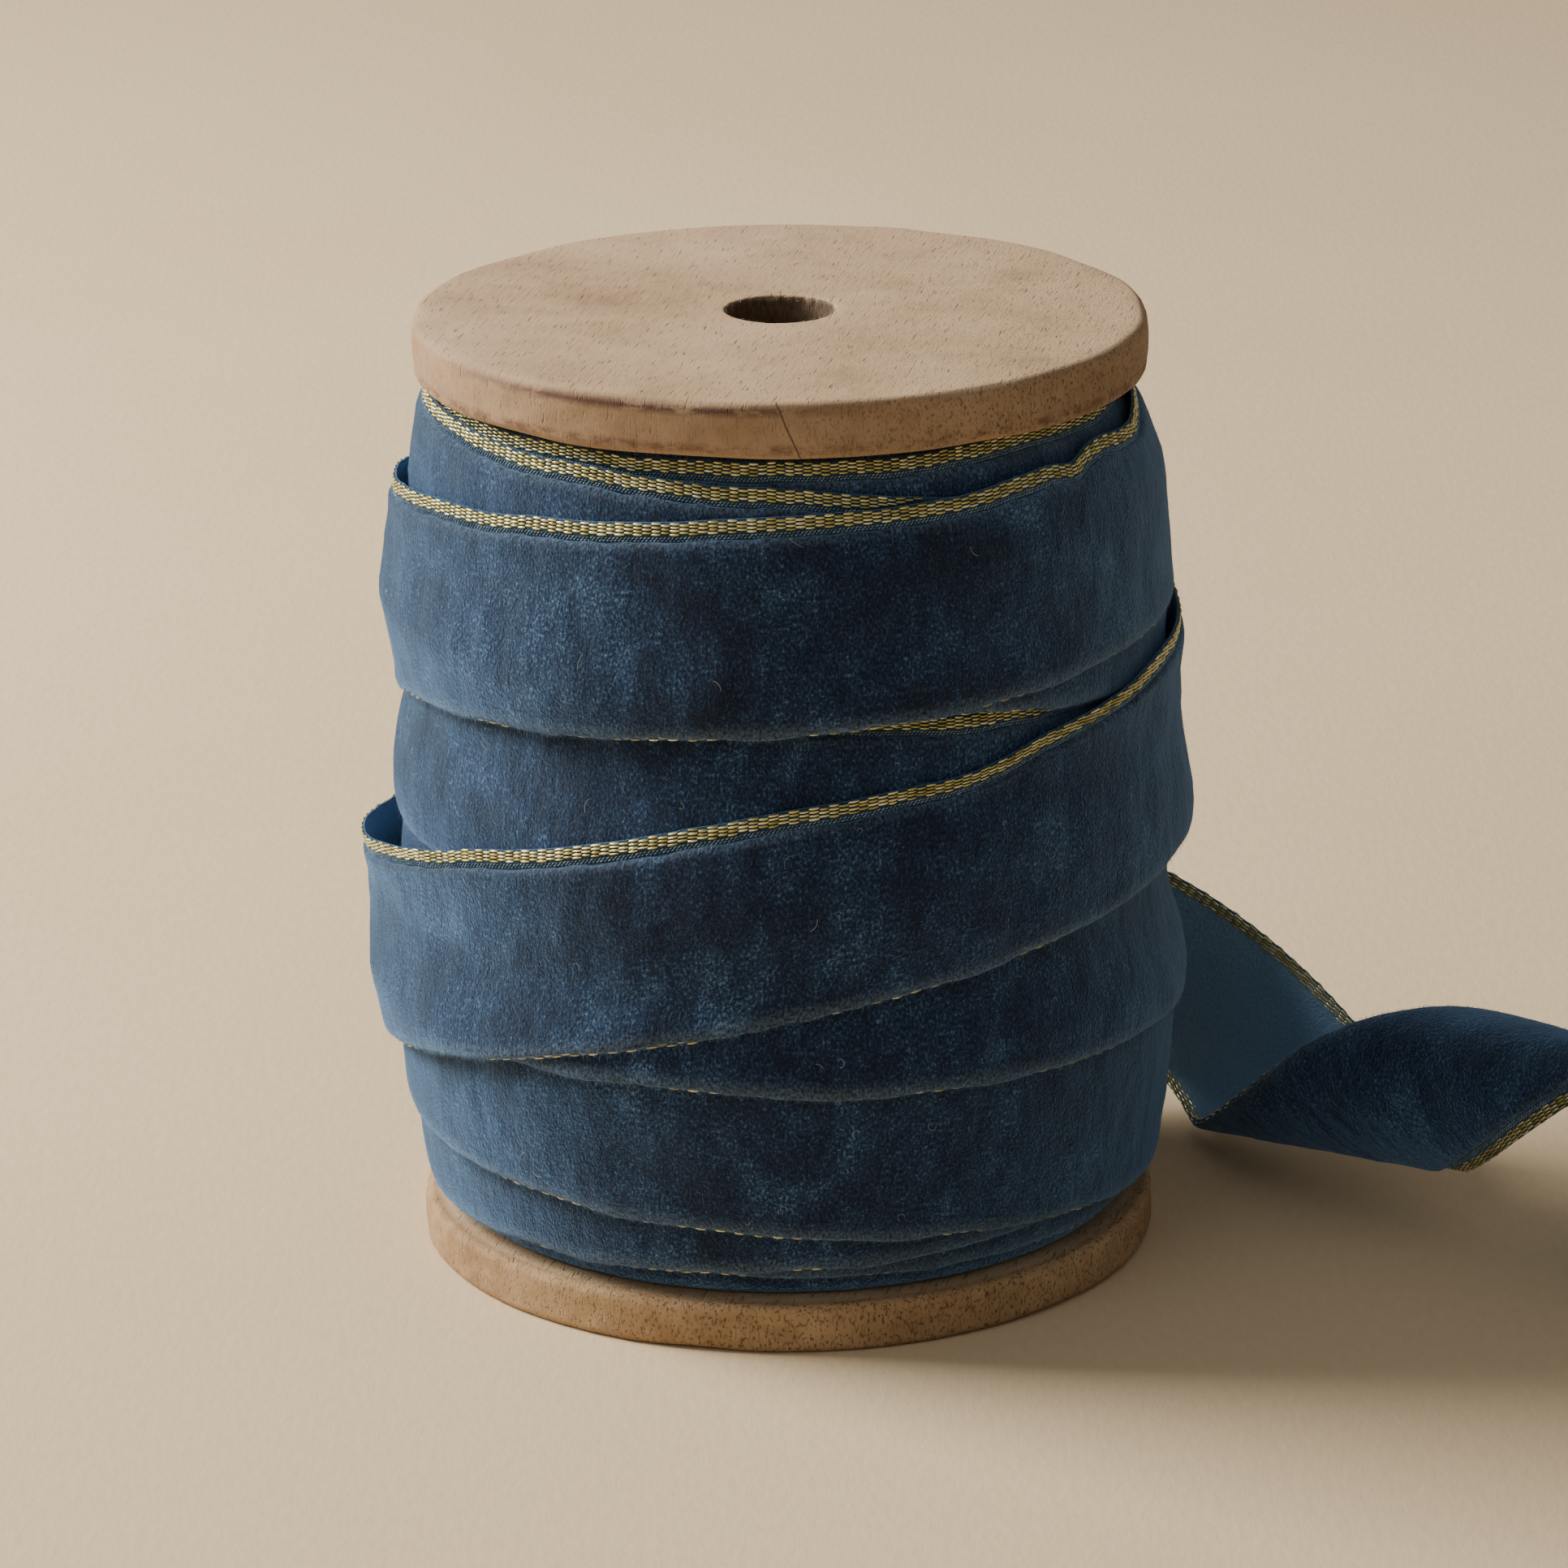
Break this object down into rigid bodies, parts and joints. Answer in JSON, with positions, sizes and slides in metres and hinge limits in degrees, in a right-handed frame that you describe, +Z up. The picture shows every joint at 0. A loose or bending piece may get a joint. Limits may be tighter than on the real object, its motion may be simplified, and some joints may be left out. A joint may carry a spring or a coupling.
{
  "type": "wooden ribbon spool",
  "caption": "Wooden spool of wide velvet ribbon with gold selvedges, wound at a slant, with a curled loose end.",
  "frame": {"origin": "on the spool's axis, in the plane it stands on", "axes": "+Z up along the spindle hole; +X to the side where the ribbon's loose end curls away, +Y to the back"},
  "size_m": [0.1942, 0.0989, 0.1135],
  "materials": {
    "wood": "bare, lightly worn",
    "velvet": "velvet pile",
    "gold_thread": "woven metallic yarn",
    "paper_tape": "matt paper tape"
  },
  "bodies": {
    "root": {"top_flange": "wood", "bottom_flange": "wood", "core_barrel": "wood", "start_tape": "paper_tape", "wound_layers": "velvet", "ribbon_turn_1": "velvet", "ribbon_turn_2": "velvet", "ribbon_turn_3": "velvet", "ribbon_turn_4": "velvet", "ribbon_turn_5": "velvet", "ribbon_turn_6": "velvet", "ribbon_turn_7": "velvet", "ribbon_turn_8": "velvet", "ribbon_turn_9": "velvet", "gold_edges_1": "gold_thread", "gold_edges_2": "gold_thread", "gold_edges_3": "gold_thread", "gold_edges_4": "gold_thread", "gold_edges_5": "gold_thread", "gold_edges_6": "gold_thread", "gold_edges_7": "gold_thread", "gold_edges_8": "gold_thread", "gold_edges_9": "gold_thread", "ribbon_tail": "velvet", "tail_gold_edges": "gold_thread"}
  },
  "joints": []
}
